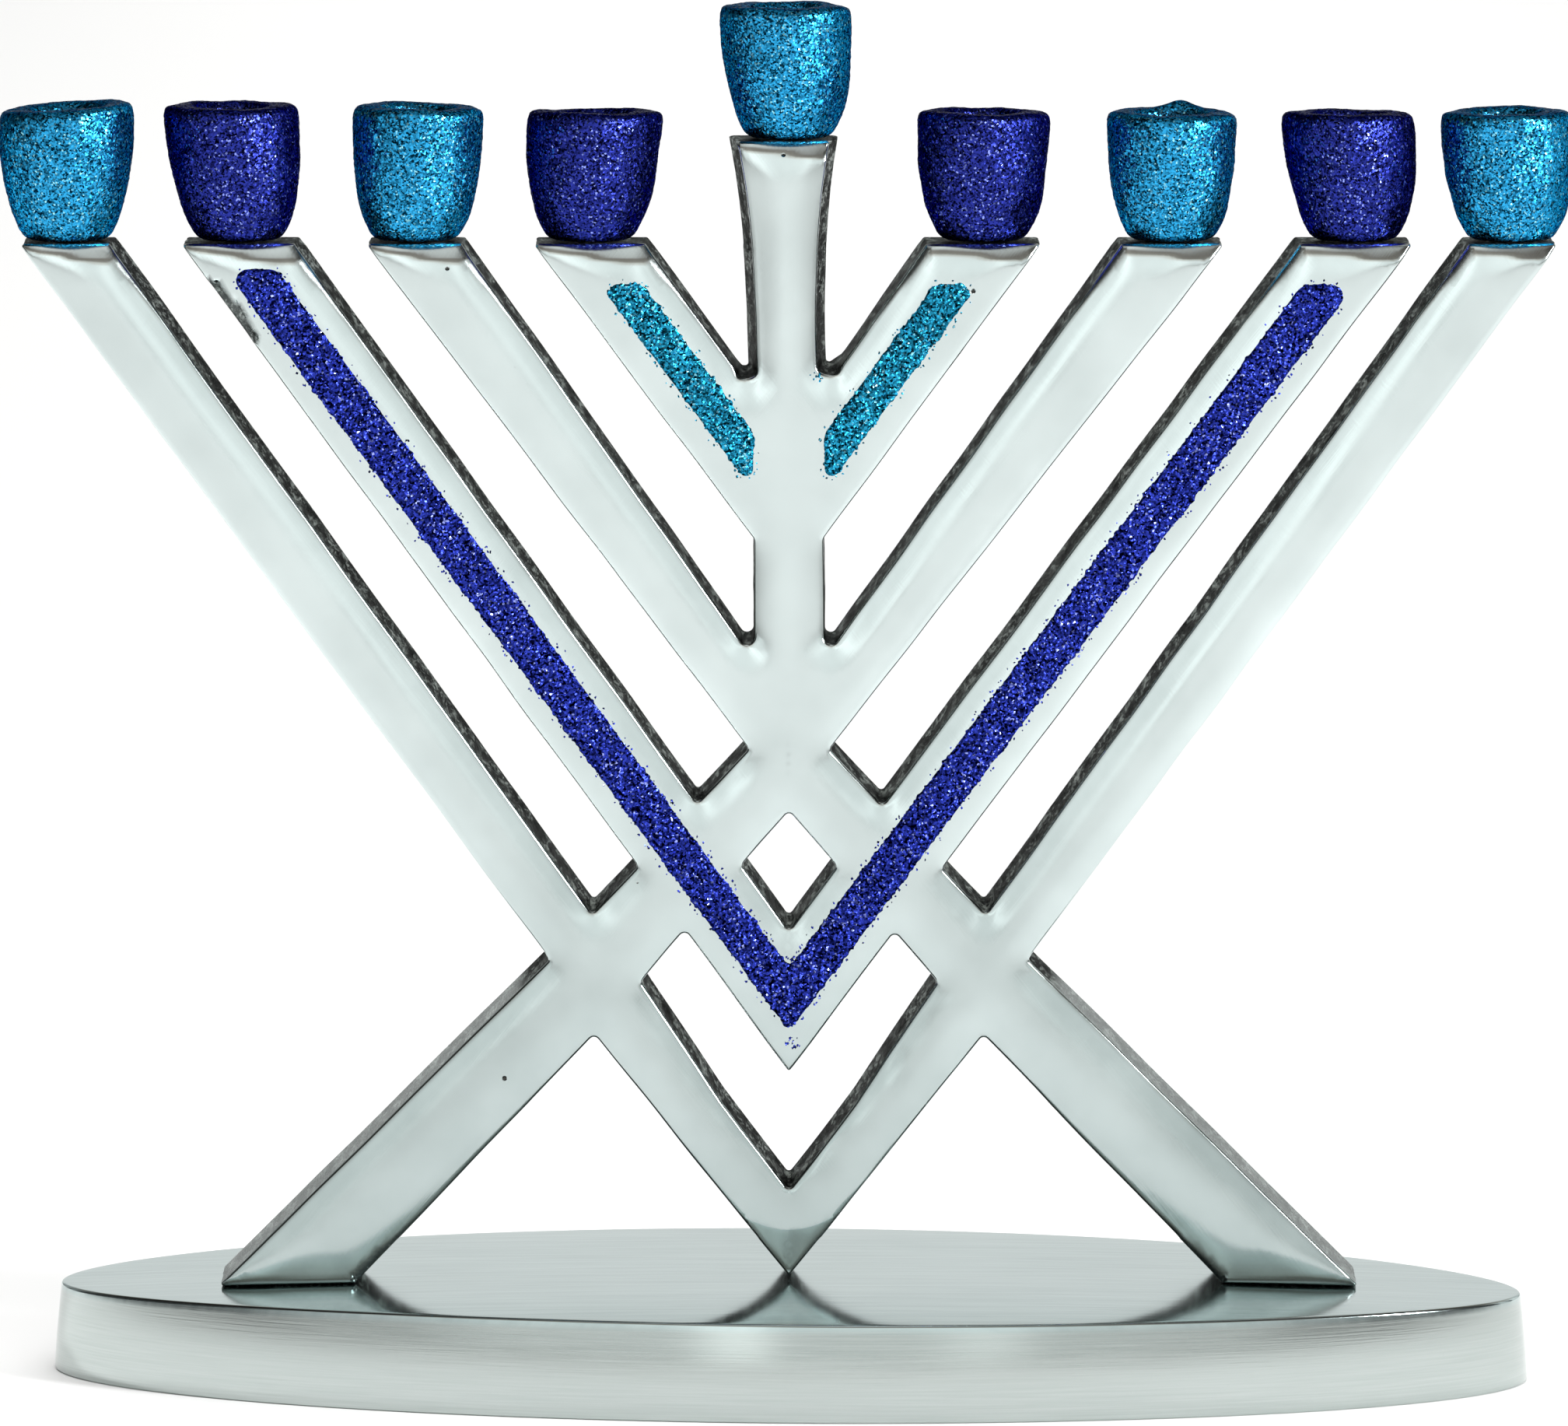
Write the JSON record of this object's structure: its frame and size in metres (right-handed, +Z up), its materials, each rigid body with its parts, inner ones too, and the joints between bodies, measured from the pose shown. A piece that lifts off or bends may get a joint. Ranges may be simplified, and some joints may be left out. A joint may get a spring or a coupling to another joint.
{
  "type": "menorah",
  "caption": "Cast aluminium Hanukkah menorah: a flat lattice of slanted bars on an oval base, with separate glitter-coated candle cups, the middle one raised, and glitter-filled grooves.",
  "frame": {"origin": "on the table, under the middle of the base", "axes": "+Z up, +X along the row of cups to the right as seen from the front, the front faces -Y"},
  "size_m": [0.2574, 0.0918, 0.226],
  "materials": {
    "polished_aluminium": "cast aluminium, front faces polished, side faces left rough from the mould",
    "base_aluminium": "cast aluminium, top polished, rim brushed",
    "teal_cup": "cast aluminium under a coat of teal blue glitter",
    "royal_cup": "cast aluminium under a coat of royal blue glitter",
    "teal_glitter": "teal blue glitter set in clear resin",
    "royal_glitter": "royal blue glitter set in clear resin",
    "steel": "zinc-plated steel"
  },
  "bodies": {
    "root": {"base": "base_aluminium", "frame": "polished_aluminium", "royal_filling": "royal_glitter", "teal_filling_left": "teal_glitter", "teal_filling_right": "teal_glitter", "cup_1": "teal_cup", "cup_2": "royal_cup", "cup_3": "teal_cup", "cup_4": "royal_cup", "cup_shamash": "teal_cup", "cup_5": "royal_cup", "cup_6": "teal_cup", "cup_7": "royal_cup", "cup_8": "teal_cup", "cup_screw_1": "steel", "cup_screw_2": "steel", "cup_screw_3": "steel", "cup_screw_4": "steel", "cup_screw_shamash": "steel", "cup_screw_5": "steel", "cup_screw_6": "steel", "cup_screw_7": "steel", "cup_screw_8": "steel", "base_washer_left": "steel", "base_washer_right": "steel", "base_screw_left": "steel", "base_screw_right": "steel"}
  },
  "joints": []
}
